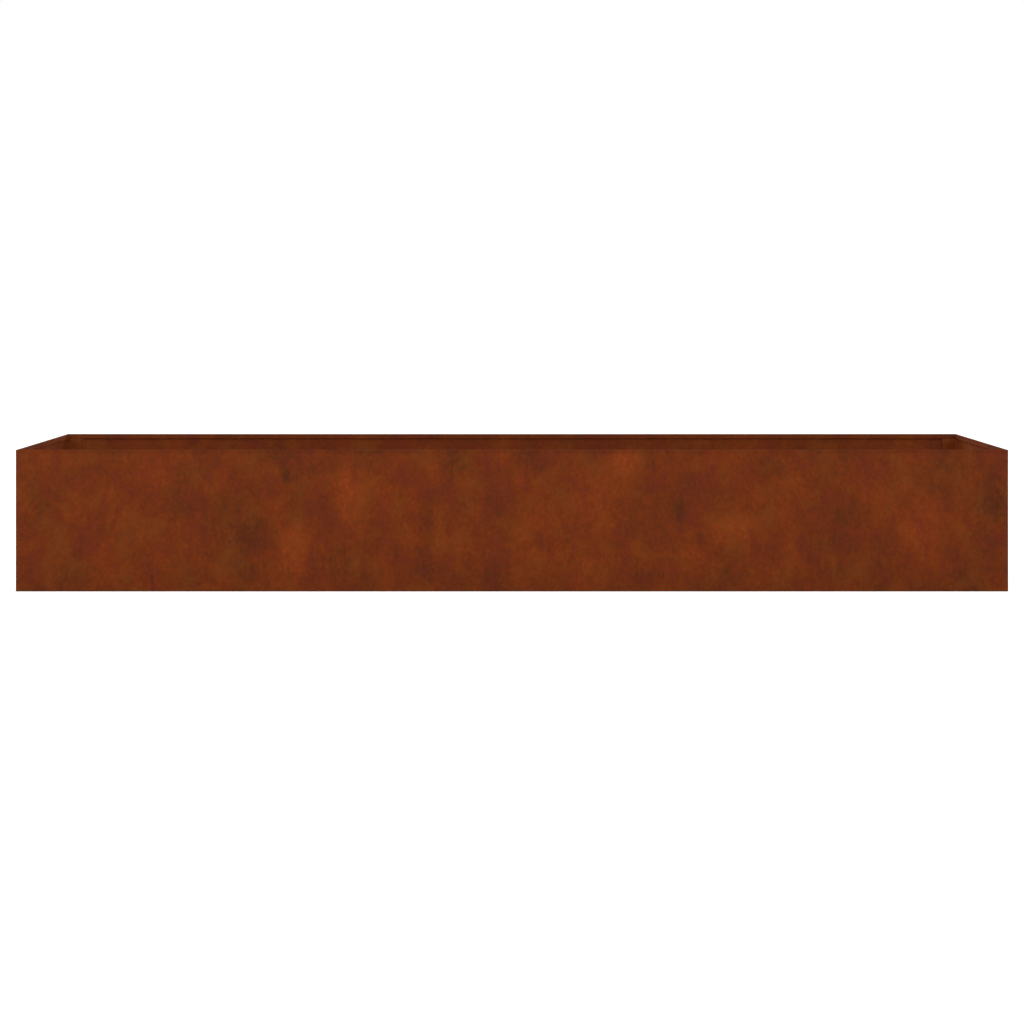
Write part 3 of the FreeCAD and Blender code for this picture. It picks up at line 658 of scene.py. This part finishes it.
def rowsTree():
    tree = bpy.data.node_groups.new("fastener rows", "GeometryNodeTree")
    kinds = {
        "Geometry": "Geometry", "First": "Vector", "Axis": "Vector", "Spin": "Float", "Seed": "Int",
        "Rows": "Int", "Row Step": "Vector", "Columns": "Int", "Column Step": "Vector",
        "Layers": "Int", "Layer Step": "Vector", "Finish": "Material",
    }
    for name, kind in kinds.items():
        tree.interface.new_socket(name, in_out="INPUT", socket_type="NodeSocket" + kind)
    tree.interface.new_socket("Geometry", in_out="OUTPUT", socket_type="NodeSocketGeometry")
    given = addNode(tree, "NodeGroupInput").outputs
    place = addNode(tree, "GeometryNodeInputPosition")
    marked = addNode(tree, "GeometryNodeStoreNamedAttribute", {
        "Geometry": given["Geometry"], "Name": "ownPlace", "Value": place,
    }, data_type="FLOAT_VECTOR", domain="POINT")
    points = addNode(tree, "GeometryNodeMeshLine", {"Count": given["Rows"], "Offset": given["Row Step"]})
    for count, step in (("Columns", "Column Step"), ("Layers", "Layer Step")):
        line = addNode(tree, "GeometryNodeMeshLine", {"Count": given[count], "Offset": given[step]})
        lines = addNode(tree, "GeometryNodeInstanceOnPoints", {"Points": line, "Instance": points})
        points = addNode(tree, "GeometryNodeRealizeInstances", {"Geometry": lines})
    moved = addNode(tree, "GeometryNodeSetPosition", {"Geometry": points, "Offset": given["First"]})
    placed = addNode(tree, "GeometryNodeInstanceOnPoints", {
        "Points": moved, "Instance": marked, "Rotation": given["Axis"],
    })
    behind = addNode(tree, "GeometryNodeTransform", {"Geometry": placed, "Rotation": (0, 0, math.pi)})
    both = addNode(tree, "GeometryNodeJoinGeometry", {"Geometry": placed})
    tree.links.new(behind.outputs[0], both.inputs[0])
    chance = addNode(tree, "FunctionNodeRandomValue", {"Max": given["Spin"], "Seed": given["Seed"]})
    turned = addNode(tree, "ShaderNodeCombineXYZ", {"Z": chance.outputs["Value"]})
    spread = addNode(tree, "GeometryNodeRotateInstances", {"Instances": both, "Rotation": turned})
    spread.inputs["Local Space"].default_value = True
    real = addNode(tree, "GeometryNodeRealizeInstances", {"Geometry": spread})
    finished = addNode(tree, "GeometryNodeSetMaterial", {"Geometry": real, "Material": given["Finish"]})
    addNode(tree, "NodeGroupOutput", {"Geometry": finished})
    return tree


fastenerRows = rowsTree()


# Stainless steel, cold headed or stamped: satin grey with fine turned rings, and a little rust
# dust from the walls. Welding leaves straw and blue-brown colours at the foot of a stud.

steel = {
    "ring": 0.35,               # mm, the turned rings
    "ringRelief": (0.4, 0.05),  # their strength, and depth in mm
    "ringSpan": (0.3, 0.7),     # part of their noise that the spread of roughness is laid over
    "smudge": 5,                # mm
    "rough": 0.36,
    "roughSpread": 0.07,
    "dark": "#8F8B85",
    "bright": "#BDB9B2",
    "dust": 0.45,
    "dustSpan": (0.46, 0.70),   # a lower start gives more dust
    "dustTone": "#7A4526",
    "dustDull": 0.5,            # how much rougher full dust is
    "heatHeight": 4.5,          # mm up from the weld
    "heatTones": {0.0: "#FFFFFF", 0.45: "#E2C48E", 0.72: "#9A7466", 0.9: "#6C7390", 1.0: "#54483F"},
}


def stainless(name, welded=False):
    material = bpy.data.materials.new(name)
    material.use_nodes = True
    tree = material.node_tree
    shader = tree.nodes["Principled BSDF"]
    own = addNode(tree, "ShaderNodeAttribute", attribute_name="ownPlace").outputs["Vector"]
    place = addNode(tree, "ShaderNodeTexCoord").outputs["Object"]
    flat = addNode(tree, "ShaderNodeVectorMath", {0: own, 1: (1, 1, 0)}, operation="MULTIPLY")
    radius = addNode(tree, "ShaderNodeVectorMath", {0: flat}, operation="LENGTH").outputs["Value"]
    rings = addNode(tree, "ShaderNodeTexNoise", {
        "W": radius, "Scale": 1 / (steel["ring"] * mm), "Detail": 2, "Roughness": 0.7,
    }, noise_dimensions="1D")
    smudge = addNode(tree, "ShaderNodeTexNoise", {
        "Vector": place, "Scale": 1 / (steel["smudge"] * mm), "Detail": 4, "Roughness": 0.65,
    })
    metal = addNode(tree, "ShaderNodeMix", {
        "Factor": smudge, 6: colour(steel["dark"]), 7: colour(steel["bright"]),
    }, data_type="RGBA").outputs[2]
    if welded:
        level = addNode(tree, "ShaderNodeSeparateXYZ", {0: own}).outputs["Z"]
        burn = addNode(tree, "ShaderNodeMapRange", {
            "Value": level, "From Min": steel["heatHeight"] * mm, "From Max": 0,
        })
        tint = addNode(tree, "ShaderNodeValToRGB", {"Fac": burn})
        fillRamp(tint, steel["heatTones"])
        metal = addNode(tree, "ShaderNodeMix", {
            "Factor": 1.0, 6: metal, 7: tint,
        }, data_type="RGBA", blend_type="MULTIPLY").outputs[2]
    dust = addNode(tree, "ShaderNodeMapRange", {
        "Value": smudge, "From Min": steel["dustSpan"][0], "From Max": steel["dustSpan"][1],
        "To Max": steel["dust"],
    }, interpolation_type="SMOOTHSTEP").outputs[0]
    dusty = addNode(tree, "ShaderNodeMix", {
        "Factor": dust, 6: metal, 7: colour(steel["dustTone"]),
    }, data_type="RGBA").outputs[2]
    tree.links.new(dusty, shader.inputs["Base Color"])
    bare = addNode(tree, "ShaderNodeMath", {0: 1.0, 1: dust}, operation="SUBTRACT")
    tree.links.new(bare.outputs[0], shader.inputs["Metallic"])
    gloss = addNode(tree, "ShaderNodeMapRange", {
        "Value": rings, "From Min": steel["ringSpan"][0], "From Max": steel["ringSpan"][1],
        "To Min": steel["rough"] - steel["roughSpread"],
        "To Max": steel["rough"] + steel["roughSpread"],
    })
    dull = addNode(tree, "ShaderNodeMath", {
        0: dust, 1: steel["dustDull"], 2: gloss,
    }, operation="MULTIPLY_ADD")
    tree.links.new(dull.outputs[0], shader.inputs["Roughness"])
    turned = addNode(tree, "ShaderNodeBump", {
        "Height": rings, "Strength": steel["ringRelief"][0], "Distance": steel["ringRelief"][1] * mm,
    })
    tree.links.new(turned.outputs["Normal"], shader.inputs["Normal"])
    return material


plainSteel = stainless("stainless steel, cold headed")
weldedSteel = stainless("stainless steel, welded stud", welded=True)


# Places of the rows on the front wall, from the frame's own boxes. The back wall's are these turned
# half round about the middle of the box.

def middle(node):
    low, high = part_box(node)
    return (low + high) / 2


barPlaces = [middle(f"tie_bar_{number}").x for number in (1, 2, 3)]
ribSheet = 3  # mm
barHalf = 2   # mm, half the thickness of a tie bar
collarEdge = fastener["collar"] / 2 * mm


def wallRows(studs, node, columns, columnStep):
    # Three studs high, pointing inwards. The node's own low side is where the fastener's foot stands.
    low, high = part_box(studs)
    return {
        "First": (low.x + collarEdge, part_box(node)[0].y, low.z + collarEdge),
        "Axis": (math.radians(-90), 0, 0),
        "Rows": 3,
        "Row Step": (0, 0, (high.z - low.z - 2 * collarEdge) / 2),
        "Columns": columns,
        "Column Step": (columnStep, 0, 0),
    }


def cornerRows(node):
    low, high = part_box("corner_studs")
    return wallRows("corner_studs", node, 2, high.x - low.x - 2 * collarEdge)


def ribRows(node):
    return wallRows("rib_studs", node, 3, barPlaces[1] - barPlaces[0])


def barRows(foot, layers=1):
    # Two bolts above each other at each bar's end, along the box, through rib and bar
    low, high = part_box("tie_bolts")
    headEdge = fastener["boltHead"][0] / 2 * mm
    nearEdge = fastener["boltHead"][0] / 2 / math.cos(math.radians(30)) * mm
    between = (2 * barHalf + ribSheet + fastener["boltWasher"][1]) * mm
    return {
        "First": (barPlaces[0] + foot * mm, -(high.y - nearEdge), low.z + headEdge),
        "Axis": (0, math.radians(90), 0),
        "Rows": 2,
        "Row Step": (0, 0, high.z - low.z - 2 * headEdge),
        "Columns": 3,
        "Column Step": (barPlaces[1] - barPlaces[0], 0, 0),
        "Layers": layers,
        "Layer Step": (between, 0, 0),
    }


studSize = fastener["studThread"]
boltSize = fastener["boltThread"]
headSeat = -(barHalf + ribSheet + fastener["boltWasher"][1])
nutSeat = barHalf + fastener["boltWasher"][1]
stud = weldStud()
studWasher = washer(studSize, *fastener["studWasher"])
studNut = hexNut(studSize, *fastener["studNut"])
bolt = hexBolt()
boltWasher = washer(boltSize, *fastener["boltWasher"])
boltNut = hexNut(boltSize, *fastener["boltNut"])
fastenerPieces = [
    ("cornerStuds", "corner_studs", stud, cornerRows("corner_studs"), weldedSteel),
    ("cornerWashers", "corner_washers", studWasher, cornerRows("corner_washers"), plainSteel),
    ("cornerNuts", "corner_nuts", studNut, cornerRows("corner_nuts"), plainSteel),
    ("ribStuds", "rib_studs", stud, ribRows("rib_studs"), weldedSteel),
    ("ribWashers", "rib_washers", studWasher, ribRows("rib_washers"), plainSteel),
    ("ribNuts", "rib_nuts", studNut, ribRows("rib_nuts"), plainSteel),
    ("tieBolts", "tie_bolts", bolt, barRows(headSeat), plainSteel),
    ("tieBoltWashers", "tie_bolt_washers", boltWasher, barRows(headSeat, 2), plainSteel),
    ("tieBoltNuts", "tie_bolt_nuts", boltNut, barRows(nutSeat), plainSteel),
]
for seed, (name, node, mesh, rows, finish) in enumerate(fastenerPieces):
    piece = bpy.data.objects.new(name, mesh)
    scene.collection.objects.link(piece)
    modifier = piece.modifiers.new("rows", "NODES")
    modifier.node_group = fastenerRows
    chosen = {
        "Spin": math.tau, "Seed": seed, "Finish": finish,
        "Layers": 1, "Layer Step": (0.0, 0.0, 0.0), **rows,
    }
    for item in fastenerRows.interface.items_tree:
        if item.name in chosen:
            modifier[item.identifier] = chosen[item.name]
    evaluated = piece.evaluated_get(bpy.context.evaluated_depsgraph_get())
    whole = bpy.data.meshes.new_from_object(evaluated)
    piece.modifiers.clear()
    piece.data = whole
    whole.shade_smooth()
    whole.set_sharp_from_angle(angle=math.radians(fastener["sharpAngle"]))
    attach(piece, "root")
    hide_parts(node)
    print("fasteners:", name, len(whole.polygons), "faces")
